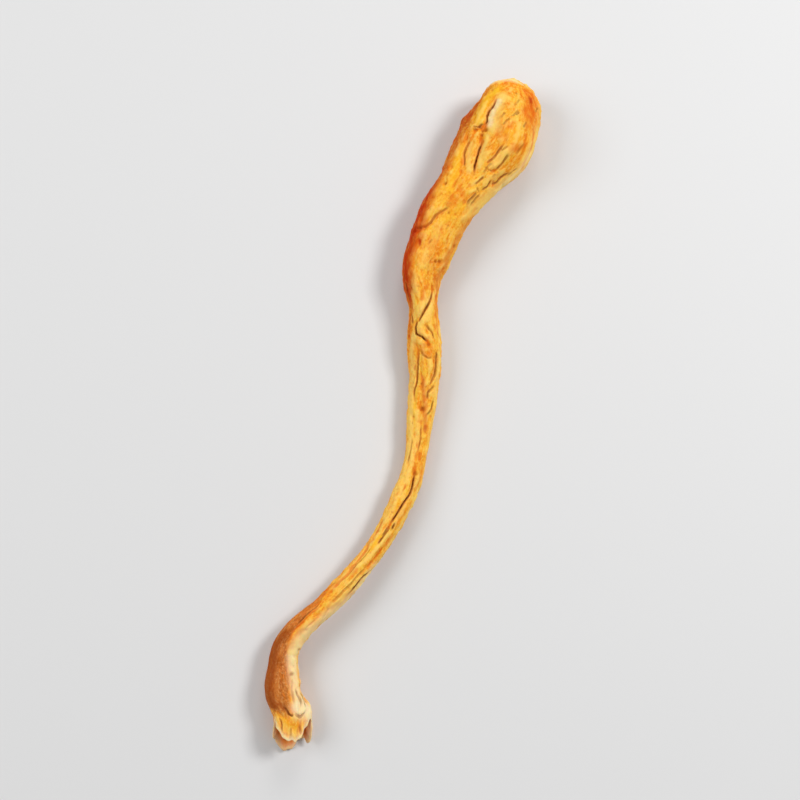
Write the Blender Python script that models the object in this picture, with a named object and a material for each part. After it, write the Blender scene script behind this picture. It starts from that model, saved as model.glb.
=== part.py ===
"""One dried cordyceps fruiting body, lying on its side as it would on a table.

It grew as one piece, so it is one solid: a swollen, wrinkled club head, a bent neck, a
slender winding stem and a torn, cupped foot. Metres, +Z up, +Y from the foot to the head.
The origin is on the ground under the middle of its box.

Places on the skin are given by the distance along the middle line, in mm from the foot,
and by degrees round it: 0 is the right side, 90 is straight up and 180 is the left side,
looking from the foot to the head.
"""

import math

import bmesh
import bpy
import numpy as np
from mathutils import Vector, noise

MM = 0.001

# The middle line and the section along it, from the foot to the tip of the head:
# x, y, width seen from above, thickness, and the height of the underside over the ground.
STATIONS_MM = (
    (0.13, -34.37, 4.11, 3.15, 0.05),
    (-0.79, -32.1, 3.58, 3.25, -0.10),
    (-2.09, -30.29, 3.64, 3.00, 0.05),
    (-2.78, -28.6, 3.03, 2.60, 0.30),
    (-3.15, -27.04, 2.68, 2.30, 0.60),
    (-2.67, -24.83, 2.54, 2.15, 0.90),
    (-1.27, -22.39, 2.26, 2.10, 1.10),
    (0.28, -19.35, 2.29, 2.05, 1.15),
    (1.57, -15.91, 1.97, 2.10, 1.00),
    (2.45, -12.55, 2.11, 2.15, 0.70),
    (2.86, -8.76, 2.27, 2.20, 0.35),
    (2.81, -5.25, 2.15, 2.25, 0.08),
    (1.88, -0.4, 2.69, 2.55, -0.10),
    (1.06, 3.15, 2.98, 2.85, -0.05),
    (-0.19, 6.72, 3.46, 3.05, 0.20),
    (-1.54, 10.25, 3.10, 3.10, 0.45),
    (-2.82, 13.54, 4.35, 3.60, 0.60),
    (-2.82, 16.18, 4.73, 4.05, 0.55),
    (-2.5, 19.58, 5.05, 4.60, 0.35),
    (-1.63, 22.48, 5.39, 5.05, 0.15),
    (-0.89, 25.12, 6.69, 5.60, -0.05),
    (0.16, 28.27, 8.18, 6.30, -0.20),
    (0.22, 31.49, 7.07, 6.20, -0.10),
    (0.06, 33.95, 6.08, 5.80, 0.30),
    (-0.18, 35.5, 5.60, 5.30, 0.70),
)
HEAD_ROUND_MM = 4.4  # the last stretch of the head, which closes in a round end
HEAD_ROUND_POWER = 2.3  # above 2, so that the end is blunt

# The torn foot is a cup cut at a slant. Its lip reaches this far past the first station:
# (degrees round, mm). The near side ends in a short tongue, the far side in two lobes.
LIP_MM = (
    (-168, -1.15), (-151, 0.20), (-128, 0.75), (-106, 1.10), (-90, 1.10), (-74, 0.10),
    (-62, 0.05), (-44, 0.40), (-24, 0.05), (-8, -1.20), (8, -1.55), (28, -1.35),
    (44, -0.70), (58, 0.10), (76, 0.65), (96, 0.50), (115, 0.15), (134, -0.60),
    (158, -1.80), (178, -2.35),
)
LIP_FADE_MM = 3.4
# The inside of the mouth, from the lip inward: depth along the stem, share of the radius.
MOUTH = ((0.10, 0.90), (0.60, 0.79), (1.30, 0.68), (2.00, 0.50), (2.45, 0.26))
MOUTH_FOLLOW = -0.7  # the inner wall faces inward, so this keeps it along the outer relief

# Folds and furrows: the (mm along, degrees round) that each runs through, then its depth,
# half-width, raised rim, and lap, which lifts the side on its left. All in mm.
FOLDS = (
    # head
    (((69.4, 108), (68.4, 115), (67.4, 116), (66.4, 114), (65.7, 120), (65.0, 128)), 0.46, 0.34, 0.18, 0.12),
    (((65.4, 110), (64.0, 101), (63.3, 94), (62.4, 88), (61.2, 78)), 0.44, 0.32, 0.16, 0.00),
    (((65.0, 138), (64.1, 129), (63.2, 121), (62.2, 114), (61.0, 110)), 0.24, 0.34, 0.10, 0.06),
    (((66.0, 70), (65.0, 73), (63.8, 74), (62.8, 72)), 0.26, 0.28, 0.10, 0.00),
    (((66.0, 54), (64.6, 56), (63.4, 56), (62.4, 59)), 0.26, 0.26, 0.10, 0.00),
    (((64.6, 35), (63.4, 41), (62.0, 43), (61.0, 48), (59.9, 50), (58.6, 56)), 0.34, 0.28, 0.12, 0.00),
    (((61.8, 61), (60.8, 63), (59.8, 70)), 0.24, 0.28, 0.10, 0.00),
    (((69.0, 26), (66.5, 20), (63.5, 24), (60.5, 32)), 0.30, 0.42, 0.12, 0.00),
    (((70.2, 176), (67.5, 184), (63.5, 188), (60.5, 180)), 0.32, 0.45, 0.14, 0.00),
    (((71.0, 214), (68.0, 208), (64.0, 216), (58.5, 210), (55.0, 216)), 0.40, 0.45, 0.16, 0.10),
    (((68.0, 252), (63.5, 246), (58.0, 254), (52.0, 246)), 0.34, 0.42, 0.14, 0.00),
    (((70.4, 300), (65.5, 310), (61.0, 304), (55.5, 312)), 0.42, 0.45, 0.16, -0.08),
    (((67.5, 338), (62.5, 344), (57.5, 338)), 0.32, 0.42, 0.12, 0.00),
    # neck: the head laps over the inside of the bend
    (((53.2, 186), (53.8, 160), (54.0, 132), (54.4, 115), (55.4, 102), (56.4, 90), (57.4, 79)), 0.44, 0.32, 0.14, 0.28),
    (((51.2, 312), (52.0, 338), (52.8, 2)), 0.30, 0.40, 0.12, 0.12),
    # upper stem
    (((49.2, 44), (48.1, 52), (47.0, 70), (46.0, 89), (45.0, 112)), 0.32, 0.26, 0.14, 0.08),
    (((44.7, 124), (43.9, 118), (43.6, 100), (43.2, 84), (42.8, 74)), 0.34, 0.24, 0.12, 0.12),
    (((44.8, 90), (44.2, 76), (43.9, 58)), 0.22, 0.24, 0.10, 0.00),
    (((42.6, 108), (41.2, 122), (39.8, 127), (38.2, 132), (36.6, 130)), 0.26, 0.24, 0.10, 0.00),
    (((42.9, 66), (42.0, 56), (41.0, 50), (39.8, 56), (38.6, 70), (37.0, 78)), 0.30, 0.24, 0.12, 0.00),
    (((47.8, 22), (47.2, 356), (46.7, 334)), 0.30, 0.42, 0.05, 0.00),
    (((49.5, 222), (45.0, 214), (40.5, 224), (35.5, 216)), 0.32, 0.34, 0.12, 0.00),
    (((48.0, 282), (43.5, 292), (39.0, 284), (34.0, 292)), 0.34, 0.34, 0.12, 0.00),
    # lower stem
    (((30.4, 74), (29.0, 68), (27.6, 63), (26.0, 76), (24.6, 94), (22.8, 104)), 0.34, 0.22, 0.14, 0.06),
    (((24.2, 40), (22.2, 40), (20.8, 54), (19.4, 60), (17.6, 62)), 0.26, 0.22, 0.10, 0.00),
    (((20.4, 18), (19.0, 34), (17.8, 42), (16.4, 60)), 0.22, 0.22, 0.08, 0.00),
    (((26.0, 138), (22.0, 134), (18.0, 126), (15.5, 120)), 0.22, 0.24, 0.08, 0.00),
    (((31.5, 206), (26.5, 214), (21.5, 204), (16.0, 212)), 0.30, 0.28, 0.10, 0.00),
    (((30.5, 280), (25.5, 272), (20.0, 284), (13.5, 276)), 0.30, 0.28, 0.10, 0.00),
    (((14.8, 128), (12.8, 124), (11.0, 112), (9.6, 104)), 0.30, 0.26, 0.12, -0.12),
    # foot
    (((8.6, 84), (6.8, 70), (5.2, 66), (3.6, 72), (2.6, 82)), 0.32, 0.26, 0.14, -0.12),
    (((6.0, 50), (4.2, 52), (2.4, 54), (0.8, 58)), 0.26, 0.24, 0.12, 0.00),
    (((4.6, 26), (2.6, 24), (0.4, 18)), 0.28, 0.24, 0.12, 0.00),
    (((2.6, 128), (2.0, 112), (2.2, 96), (2.8, 84)), 0.30, 0.24, 0.10, 0.12),
    (((7.6, 176), (5.0, 168), (2.4, 172), (0.2, 168)), 0.30, 0.32, 0.10, 0.00),
    (((6.8, 232), (4.2, 240), (1.8, 234), (0.0, 238)), 0.32, 0.30, 0.12, 0.00),
    (((6.4, 296), (4.0, 288), (1.6, 286), (0.0, 284)), 0.36, 0.32, 0.12, 0.00),
)
FOLD_END_SHARE = 0.22  # of a fold's length, over which each end fades
FOLD_END_DEPTH = 0.35  # of the depth, left at the very end

# Single swellings and hollows: mm along, degrees round, half-length, half-width and height
# in mm.
SWELLINGS = (
    # head: the lobe left of the furrow, the upper corners, the facet right of the furrow, the
    # shoulders and the flanks
    (67.8, 134, 1.7, 0.9, 0.28),
    (72.0, 150, 0.8, 1.2, 0.42),
    (70.0, 176, 0.9, 1.0, -0.22),
    (67.5, 178, 0.8, 1.0, 0.22),
    (71.2, 16, 1.3, 1.4, 0.28),
    (67.6, 100, 1.6, 0.7, 0.20),
    (63.0, 114, 2.0, 0.8, -0.16),
    (67.6, 60, 2.4, 1.5, 0.18),
    (64.0, 22, 3.6, 0.8, 0.16),
    (61.5, 160, 4.5, 1.3, -0.24),
    (58.5, 100, 3.0, 1.4, 0.20),
    (56.5, 230, 4.0, 1.4, -0.22),
    (65.0, 330, 3.0, 1.2, -0.20),
    # stem: the flat left flank at the neck, the ribbon along the lower stem's right side
    (49.0, 165, 4.0, 1.0, -0.18),
    (46.6, 96, 2.2, 0.9, 0.14),
    (19.5, 50, 7.0, 0.5, 0.12),
    # foot: the strip, the smooth flank left of it, the fan at its end and the notch right of it
    (5.4, 44, 4.5, 0.6, 0.22),
    (5.4, 100, 3.4, 0.8, -0.14),
    (0.8, 12, 0.8, 0.7, 0.26),
    (3.1, 4, 1.3, 0.9, -0.56),
)

# Shrinkage of the whole surface: long ridges that wind round the stem, broad dents, and
# wrinkles that run along it and waver.
RIDGE_COUNT = 3
RIDGE_SHARE = 0.055  # of the radius
RIDGE_TWIST_DEG_PER_MM = 4.6
DENT_SHARE = 0.17  # of the radius
DENT_LENGTH_MM = 7.0
DENT_AROUND_MM = 3.2
WRINKLE_MM = 0.17
WRINKLE_SHARPNESS = 2.4
WRINKLE_LENGTH_MM = 4.6
WRINKLE_AROUND_MM = 0.95
WAVER_DEG = 34
WAVER_LENGTH_MM = 6.0
WAVER_AROUND_MM = 2.4
NOISE_OFFSET = Vector((3.1, 7.7, 1.3))
THINNEST_SHARE = 0.3  # of the radius, for the relief on the closing ends

# Mesh density: the gap between rings in mm from each distance on, and the points round each
# ring, which lie closer together on the upper side.
RING_GAPS_MM = ((0.0, 0.42), (8.0, 0.88), (33.0, 0.60), (48.0, 0.52))
HEAD_END_RINGS = 12
AROUND = 38
UPPER_SIDE_CLOSER = 0.22

CLUB_COLOUR = (0.86, 0.40, 0.07, 1.0)
CLUB_ROUGHNESS = 0.8


def spline(knots, values):
    """A natural cubic spline. It returns values and slopes, straight on past both ends."""
    count = len(knots)
    gap = np.diff(knots)
    matrix = np.eye(count)
    right = np.zeros_like(values)
    for i in range(1, count - 1):
        matrix[i, i - 1 : i + 2] = gap[i - 1], 2 * (gap[i - 1] + gap[i]), gap[i]
        rise = (values[i + 1] - values[i]) / gap[i] - (values[i] - values[i - 1]) / gap[i - 1]
        right[i] = 6 * rise
    bend = np.linalg.solve(matrix, right)

    def at(where):
        inside = np.clip(where, knots[0], knots[-1])
        i = np.clip(np.searchsorted(knots, inside, side="right") - 1, 0, count - 2)
        h = gap[i][..., None]
        a = (knots[i + 1] - inside)[..., None] / h
        b = 1 - a
        slope = (values[i + 1] - values[i]) / h
        slope = slope + h / 6 * ((1 - 3 * a**2) * bend[i] + (3 * b**2 - 1) * bend[i + 1])
        value = a * values[i] + b * values[i + 1]
        value = value + h**2 / 6 * ((a**3 - a) * bend[i] + (b**3 - b) * bend[i + 1])
        return value + slope * (where - inside)[..., None], slope

    return at


def middle_line():
    """The spline of (x, y, z of the middle, half-width, half-thickness), and its length."""
    x, y, width, thickness, lift = np.array(STATIONS_MM).T
    steps = np.hypot(np.diff(x), np.diff(y))
    along = np.concatenate([[0.0], np.cumsum(steps)])
    rows = np.stack([x, y, lift + thickness / 2, width / 2, thickness / 2], axis=1)
    return spline(along, rows), along[-1]


def smooth(edge0, edge1, value):
    """0 below edge0, 1 above edge1, and a smooth rise between."""
    t = np.clip((value - edge0) / (edge1 - edge0), 0, 1)
    return t * t * (3 - 2 * t)


def turn(degrees):
    """An angle in degrees as the same angle from -180 to 180."""
    return (degrees + 180) % 360 - 180


def lip_reach(angle):
    """How far the torn lip reaches past the foot's end, in mm, at each angle round."""
    degrees, reach = np.array(LIP_MM).T
    return np.interp(turn(angle), degrees, reach, period=360)


def rings(length):
    """(distance along, share of the radius, share of the relief) of each ring, mouth first."""
    inside = [(depth, share, MOUTH_FOLLOW) for depth, share in reversed(MOUTH)]
    straight = length - HEAD_ROUND_MM
    starts = [start for start, _ in RING_GAPS_MM] + [straight]
    body = []
    for (start, gap), stop in zip(RING_GAPS_MM, starts[1:]):
        count = round((stop - start) / gap)
        body += [(start + (stop - start) * i / count, 1.0, 1.0) for i in range(count)]
    end = []
    for i in range(HEAD_END_RINGS):
        t = math.sin(math.pi / 2 * i / HEAD_END_RINGS)
        share = (1 - t**HEAD_ROUND_POWER) ** (1 / HEAD_ROUND_POWER)
        end.append((straight + HEAD_ROUND_MM * t, share, 1.0))
    return np.array(inside + body + end)


def section_points(at, along, angle, share):
    """Points on the smooth club, in mm, at each distance along and angle round."""
    row, slope = at(along)
    tangent = slope[..., :3] / np.linalg.norm(slope[..., :3], axis=-1, keepdims=True)
    side = np.cross(tangent, (0.0, 0.0, 1.0))
    side = side / np.linalg.norm(side, axis=-1, keepdims=True)
    up = np.cross(side, tangent)
    turned = np.radians(angle)
    across = (row[..., 3] * share * np.cos(turned))[..., None]
    above = (row[..., 4] * share * np.sin(turned))[..., None]
    return row[..., :3] + side * across + up * above


def outward(points):
    """Unit normals of a grid of points, rings by angles, which closes round each ring."""
    along = np.gradient(points, axis=0)
    around = np.roll(points, -1, axis=1) - np.roll(points, 1, axis=1)
    normal = np.cross(along, around)
    return normal / np.linalg.norm(normal, axis=-1, keepdims=True)


def fold_relief(fold, along, angle, radius):
    """The height that one fold adds, in mm."""
    path, depth, half_width, rim, lap = fold
    nearest = np.full(along.shape, np.inf)
    side = np.zeros(along.shape)
    place = np.zeros(along.shape)
    count = len(path) - 1
    for i, ((s0, a0), (s1, a1)) in enumerate(zip(path[:-1], path[1:])):
        ds = s1 - s0
        dv = np.radians(turn(a1 - a0)) * radius
        u = along - s0
        v = np.radians(turn(angle - a0)) * radius
        t = np.clip((u * ds + v * dv) / (ds * ds + dv * dv), 0, 1)
        gap = np.hypot(u - t * ds, v - t * dv)
        closer = gap < nearest
        nearest = np.where(closer, gap, nearest)
        side = np.where(closer, np.sign(ds * v - dv * u), side)
        place = np.where(closer, (i + t) / count, place)
    ends = smooth(0, FOLD_END_SHARE, place) * smooth(0, FOLD_END_SHARE, 1 - place)
    valley = -depth * np.exp(-((nearest / half_width) ** 2))
    valley = valley * (FOLD_END_DEPTH + (1 - FOLD_END_DEPTH) * ends)
    rims = rim * np.exp(-(((nearest - 2.1 * half_width) / (1.2 * half_width)) ** 2))
    raised = lap * np.exp(-nearest / (4 * half_width)) * (side > 0)
    return valley + (rims + raised) * ends


def swelling_relief(swelling, along, angle, radius):
    """The height that one swelling or hollow adds, in mm."""
    where, degrees, half_length, half_width, height = swelling
    u = (along - where) / half_length
    v = np.radians(turn(angle - degrees)) * radius / half_width
    return height * np.exp(-(u * u + v * v))


def field(along, angle, radius, length, across, shift):
    """Noise over the surface, with features of one length along and one across, in mm."""
    turned = np.radians(angle)
    x = radius * np.cos(turned) / across
    y = radius * np.sin(turned) / across
    z = along / length
    grid = np.stack([x, y, z], axis=-1).reshape(-1, 3)
    values = [noise.noise(Vector(point) + shift) for point in grid]
    return np.array(values).reshape(along.shape)


def relief(along, angle, radius):
    """The height of the dried skin over the smooth club, in mm, level on average."""
    phase = np.radians(angle) - np.radians(RIDGE_TWIST_DEG_PER_MM) * along
    height = RIDGE_SHARE * radius * np.cos(RIDGE_COUNT * phase)
    dents = field(along, angle, radius, DENT_LENGTH_MM, DENT_AROUND_MM, NOISE_OFFSET)
    height = height + DENT_SHARE * radius * dents
    waver = field(along, angle, radius, WAVER_LENGTH_MM, WAVER_AROUND_MM, 2 * NOISE_OFFSET)
    wavy = angle + WAVER_DEG * waver
    creased = field(along, wavy, radius, WRINKLE_LENGTH_MM, WRINKLE_AROUND_MM, 3 * NOISE_OFFSET)
    height = height + WRINKLE_MM * WRINKLE_SHARPNESS * np.sqrt(np.abs(creased))
    for fold in FOLDS:
        height = height + fold_relief(fold, along, angle, radius)
    for swelling in SWELLINGS:
        height = height + swelling_relief(swelling, along, angle, radius)
    return height - height.mean(axis=1, keepdims=True)


def club_points():
    """The club's surface in mm, as a grid of rings by angles, and the two end points."""
    at, length = middle_line()
    ring = rings(length)
    even = np.radians(np.arange(AROUND) * 360 / AROUND)
    angle = np.degrees(even + UPPER_SIDE_CLOSER * np.sin(even)) - 90
    along, angle = np.meshgrid(ring[:, 0], angle, indexing="ij")
    share = np.broadcast_to(ring[:, 1:2], along.shape)
    strength = np.broadcast_to(ring[:, 2:3], along.shape)
    row, _ = at(along)
    radius = (row[..., 3] + row[..., 4]) / 2 * np.maximum(share, THINNEST_SHARE)
    torn = lip_reach(angle) * np.exp(-((along / LIP_FADE_MM) ** 2))
    points = section_points(at, along - torn, angle, share)
    height = relief(along, angle, radius) * strength
    points = points + outward(points) * height[..., None]
    points[..., 2] = np.maximum(points[..., 2], 0)
    first = points[0].mean(axis=0)
    tip = section_points(at, np.array([length]), np.array([0.0]), np.array([0.0]))[0]
    return points, first, tip


def build_club(name):
    """One closed mesh object of the whole fruiting body."""
    points, first, tip = club_points()
    every = points.reshape(-1, 3)
    middle = (every.max(axis=0) + every.min(axis=0)) / 2
    shift = np.array([middle[0], middle[1], 0.0])
    shell = bmesh.new()
    grid = [[shell.verts.new((p - shift) * MM) for p in ring] for ring in points]
    ends = [shell.verts.new((p - shift) * MM) for p in (first, tip)]
    for lower, upper in zip(grid[:-1], grid[1:]):
        for j in range(AROUND):
            k = (j + 1) % AROUND
            shell.faces.new((lower[j], lower[k], upper[k], upper[j]))
    for j in range(AROUND):
        k = (j + 1) % AROUND
        shell.faces.new((ends[0], grid[0][k], grid[0][j]))
        shell.faces.new((ends[1], grid[-1][j], grid[-1][k]))
    bmesh.ops.triangulate(shell, faces=shell.faces)
    bmesh.ops.recalc_face_normals(shell, faces=shell.faces)
    mesh = bpy.data.meshes.new(name)
    shell.to_mesh(mesh)
    shell.free()
    mesh.shade_smooth()
    club = bpy.data.objects.new(name, mesh)
    bpy.context.scene.collection.objects.link(club)
    return club


def dried_skin():
    """The matte orange skin."""
    material = bpy.data.materials.new("dried_skin")
    material.use_nodes = True
    shader = material.node_tree.nodes["Principled BSDF"]
    shader.inputs["Base Color"].default_value = CLUB_COLOUR
    shader.inputs["Roughness"].default_value = CLUB_ROUGHNESS
    shader.inputs["Metallic"].default_value = 0.0
    return material


for old in list(bpy.data.objects):
    bpy.data.objects.remove(old)
fruiting_body = build_club("fruiting_body")
fruiting_body.data.materials.append(dried_skin())
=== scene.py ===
"""The looks of one dried cordyceps fruiting body, lying on a plain pale floor.

The fine skin follows the solid's own design: the same middle line, sections, torn lip,
folds and swellings, on a much finer mesh, with the creases, grain, pores and ragged edges
that are too small for the solid. Places on the skin are given as in the solid: mm along the
middle line from the foot, and degrees round it (0 right, 90 up, 180 left, looking from the
foot to the head). Distances in the tables are mm, and the scene is in metres, +Z up. In the
functions, `skin` is three grids: mm along, degrees round, and the radius there in mm.
"""

import math

import bpy
import numpy as np
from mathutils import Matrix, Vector, noise


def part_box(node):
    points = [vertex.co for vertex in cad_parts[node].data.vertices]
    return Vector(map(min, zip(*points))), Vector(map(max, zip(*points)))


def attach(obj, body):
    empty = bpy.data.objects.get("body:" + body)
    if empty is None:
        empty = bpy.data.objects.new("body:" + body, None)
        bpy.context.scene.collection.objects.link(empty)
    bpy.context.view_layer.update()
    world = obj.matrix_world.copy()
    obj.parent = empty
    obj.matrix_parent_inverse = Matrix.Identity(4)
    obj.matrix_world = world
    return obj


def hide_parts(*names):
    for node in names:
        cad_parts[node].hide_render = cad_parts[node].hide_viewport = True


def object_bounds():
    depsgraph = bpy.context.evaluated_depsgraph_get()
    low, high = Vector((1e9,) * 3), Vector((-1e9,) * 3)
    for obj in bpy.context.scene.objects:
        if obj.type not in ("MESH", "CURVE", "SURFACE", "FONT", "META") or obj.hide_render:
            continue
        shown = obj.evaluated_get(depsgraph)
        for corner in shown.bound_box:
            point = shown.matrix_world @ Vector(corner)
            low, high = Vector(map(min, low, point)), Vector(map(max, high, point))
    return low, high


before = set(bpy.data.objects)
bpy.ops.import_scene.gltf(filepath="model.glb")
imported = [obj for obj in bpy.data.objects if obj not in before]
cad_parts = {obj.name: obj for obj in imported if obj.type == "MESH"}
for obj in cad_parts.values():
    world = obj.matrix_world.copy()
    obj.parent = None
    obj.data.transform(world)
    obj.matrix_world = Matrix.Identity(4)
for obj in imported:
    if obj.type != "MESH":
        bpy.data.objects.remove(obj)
solid_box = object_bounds()
scene = bpy.context.scene

MM = 0.001

# ---- the solid's own design

# x, y, width seen from above, thickness, and height of the underside over the ground.
STATIONS_MM = (
    (0.13, -34.37, 4.11, 3.15, 0.05), (-0.79, -32.1, 3.58, 3.25, -0.1),
    (-2.09, -30.29, 3.64, 3, 0.05), (-2.78, -28.6, 3.03, 2.6, 0.3),
    (-3.15, -27.04, 2.68, 2.3, 0.6), (-2.67, -24.83, 2.54, 2.15, 0.9),
    (-1.27, -22.39, 2.26, 2.1, 1.1), (0.28, -19.35, 2.29, 2.05, 1.15),
    (1.57, -15.91, 1.97, 2.1, 1), (2.45, -12.55, 2.11, 2.15, 0.7),
    (2.86, -8.76, 2.27, 2.2, 0.35), (2.81, -5.25, 2.15, 2.25, 0.08),
    (1.88, -0.4, 2.69, 2.55, -0.1), (1.06, 3.15, 2.98, 2.85, -0.05),
    (-0.19, 6.72, 3.46, 3.05, 0.2), (-1.54, 10.25, 3.1, 3.1, 0.45),
    (-2.82, 13.54, 4.35, 3.6, 0.6), (-2.82, 16.18, 4.73, 4.05, 0.55),
    (-2.5, 19.58, 5.05, 4.6, 0.35), (-1.63, 22.48, 5.39, 5.05, 0.15),
    (-0.89, 25.12, 6.69, 5.6, -0.05), (0.16, 28.27, 8.18, 6.3, -0.2),
    (0.22, 31.49, 7.07, 6.2, -0.1), (0.06, 33.95, 6.08, 5.8, 0.3),
    (-0.18, 35.5, 5.6, 5.3, 0.7),
)
HEAD_ROUND_MM = 4.4
HEAD_ROUND_POWER = 2.3

# How far the torn lip reaches past the first station: (degrees round, mm).
LIP_MM = (
    (-168, -1.15), (-151, 0.2), (-128, 0.75), (-106, 1.1), (-90, 1.1), (-74, 0.1),
    (-62, 0.05), (-44, 0.4), (-24, 0.05), (-8, -1.2), (8, -1.55), (28, -1.35),
    (44, -0.7), (58, 0.1), (76, 0.65), (96, 0.5), (115, 0.15), (134, -0.6),
    (158, -1.8), (178, -2.35),
)
LIP_FADE_MM = 3.4

# Folds: the (mm along, degrees round) that each runs through, then its depth, half-width,
# raised rim, and for some the lap, which lifts the side on its left.
FOLDS = (
    # head
    (((69.4, 108), (68.4, 115), (67.4, 116), (66.4, 114), (65.7, 120), (65, 128)),
     0.46, 0.34, 0.18, 0.12),
    (((65.4, 110), (64, 101), (63.3, 94), (62.4, 88), (61.2, 78)), 0.44, 0.32, 0.16),
    (((65, 138), (64.1, 129), (63.2, 121), (62.2, 114), (61, 110)), 0.24, 0.34, 0.1, 0.06),
    (((66, 70), (65, 73), (63.8, 74), (62.8, 72)), 0.26, 0.28, 0.1),
    (((66, 54), (64.6, 56), (63.4, 56), (62.4, 59)), 0.26, 0.26, 0.1),
    (((64.6, 35), (63.4, 41), (62, 43), (61, 48), (59.9, 50), (58.6, 56)), 0.34, 0.28, 0.12),
    (((61.8, 61), (60.8, 63), (59.8, 70)), 0.24, 0.28, 0.1),
    (((69, 26), (66.5, 20), (63.5, 24), (60.5, 32)), 0.3, 0.42, 0.12),
    (((70.2, 176), (67.5, 184), (63.5, 188), (60.5, 180)), 0.32, 0.45, 0.14),
    (((71, 214), (68, 208), (64, 216), (58.5, 210), (55, 216)), 0.4, 0.45, 0.16, 0.1),
    (((68, 252), (63.5, 246), (58, 254), (52, 246)), 0.34, 0.42, 0.14),
    (((70.4, 300), (65.5, 310), (61, 304), (55.5, 312)), 0.42, 0.45, 0.16, -0.08),
    (((67.5, 338), (62.5, 344), (57.5, 338)), 0.32, 0.42, 0.12),
    # neck: the head laps over the inside of the bend
    (((53.2, 186), (53.8, 160), (54, 132), (54.4, 115), (55.4, 102), (56.4, 90), (57.4, 79)),
     0.44, 0.32, 0.14, 0.28),
    (((51.2, 312), (52, 338), (52.8, 2)), 0.3, 0.4, 0.12, 0.12),
    # upper stem
    (((49.2, 44), (48.1, 52), (47, 70), (46, 89), (45, 112)), 0.32, 0.26, 0.14, 0.08),
    (((44.7, 124), (43.9, 118), (43.6, 100), (43.2, 84), (42.8, 74)), 0.34, 0.24, 0.12, 0.12),
    (((44.8, 90), (44.2, 76), (43.9, 58)), 0.22, 0.24, 0.1),
    (((42.6, 108), (41.2, 122), (39.8, 127), (38.2, 132), (36.6, 130)), 0.26, 0.24, 0.1),
    (((42.9, 66), (42, 56), (41, 50), (39.8, 56), (38.6, 70), (37, 78)), 0.3, 0.24, 0.12),
    (((47.8, 22), (47.2, 356), (46.7, 334)), 0.3, 0.42, 0.05),
    (((49.5, 222), (45, 214), (40.5, 224), (35.5, 216)), 0.32, 0.34, 0.12),
    (((48, 282), (43.5, 292), (39, 284), (34, 292)), 0.34, 0.34, 0.12),
    # lower stem
    (((30.4, 74), (29, 68), (27.6, 63), (26, 76), (24.6, 94), (22.8, 104)), 0.34, 0.22, 0.14, 0.06),
    (((24.2, 40), (22.2, 40), (20.8, 54), (19.4, 60), (17.6, 62)), 0.26, 0.22, 0.1),
    (((20.4, 18), (19, 34), (17.8, 42), (16.4, 60)), 0.22, 0.22, 0.08),
    (((26, 138), (22, 134), (18, 126), (15.5, 120)), 0.22, 0.24, 0.08),
    (((31.5, 206), (26.5, 214), (21.5, 204), (16, 212)), 0.3, 0.28, 0.1),
    (((30.5, 280), (25.5, 272), (20, 284), (13.5, 276)), 0.3, 0.28, 0.1),
    (((14.8, 128), (12.8, 124), (11, 112), (9.6, 104)), 0.3, 0.26, 0.12, -0.12),
    # foot
    (((8.6, 84), (6.8, 70), (5.2, 66), (3.6, 72), (2.6, 82)), 0.32, 0.26, 0.14, -0.12),
    (((6, 50), (4.2, 52), (2.4, 54), (0.8, 58)), 0.26, 0.24, 0.12),
    (((4.6, 26), (2.6, 24), (0.4, 18)), 0.28, 0.24, 0.12),
    (((2.6, 128), (2, 112), (2.2, 96), (2.8, 84)), 0.3, 0.24, 0.1, 0.12),
    (((7.6, 176), (5, 168), (2.4, 172), (0.2, 168)), 0.3, 0.32, 0.1),
    (((6.8, 232), (4.2, 240), (1.8, 234), (0, 238)), 0.32, 0.3, 0.12),
    (((6.4, 296), (4, 288), (1.6, 286), (0, 284)), 0.36, 0.32, 0.12),
)
FOLD_END_SHARE = 0.22
FOLD_END_DEPTH = 0.35

# Swellings and hollows: mm along, degrees round, half-length, half-width and height.
SWELLINGS = (
    (67.8, 134, 1.7, 0.9, 0.28), (72, 150, 0.8, 1.2, 0.42), (70, 176, 0.9, 1, -0.22),
    (67.5, 178, 0.8, 1, 0.22), (71.2, 16, 1.3, 1.4, 0.28), (67.6, 100, 1.6, 0.7, 0.2),
    (63, 114, 2, 0.8, -0.16), (67.6, 60, 2.4, 1.5, 0.18), (64, 22, 3.6, 0.8, 0.16),
    (61.5, 160, 4.5, 1.3, -0.24), (58.5, 100, 3, 1.4, 0.2), (56.5, 230, 4, 1.4, -0.22),
    (65, 330, 3, 1.2, -0.2), (49, 165, 4, 1, -0.18), (46.6, 96, 2.2, 0.9, 0.14),
    (19.5, 50, 7, 0.5, 0.12), (5.4, 44, 4.5, 0.6, 0.22), (5.4, 100, 3.4, 0.8, -0.14),
    (0.8, 12, 0.8, 0.7, 0.26), (3.1, 4, 1.3, 0.9, -0.56),
)

RIDGE_COUNT = 3
RIDGE_SHARE = 0.055
RIDGE_TWIST_DEG_PER_MM = 4.6
DENT_SHARE = 0.17
DENT_LENGTH_MM = 7.0
DENT_AROUND_MM = 3.2
WRINKLE_MM = 0.07
WRINKLE_SHARPNESS = 2.4
WRINKLE_ROUNDING = 0.1
WRINKLE_LENGTH_MM = 4.6
WRINKLE_AROUND_MM = 0.95
WAVER_DEG = 34
WAVER_LENGTH_MM = 6.0
WAVER_AROUND_MM = 2.4
NOISE_OFFSET = Vector((3.1, 7.7, 1.3))
THINNEST_SHARE = 0.3

# ---- what is finer than it

# Mesh density.
RING_GAP_MM = 0.135
HEAD_END_RINGS = 46
MOUTH_RINGS = 28
AROUND = 166
UPPER_SIDE_CLOSER = 0.2

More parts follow.
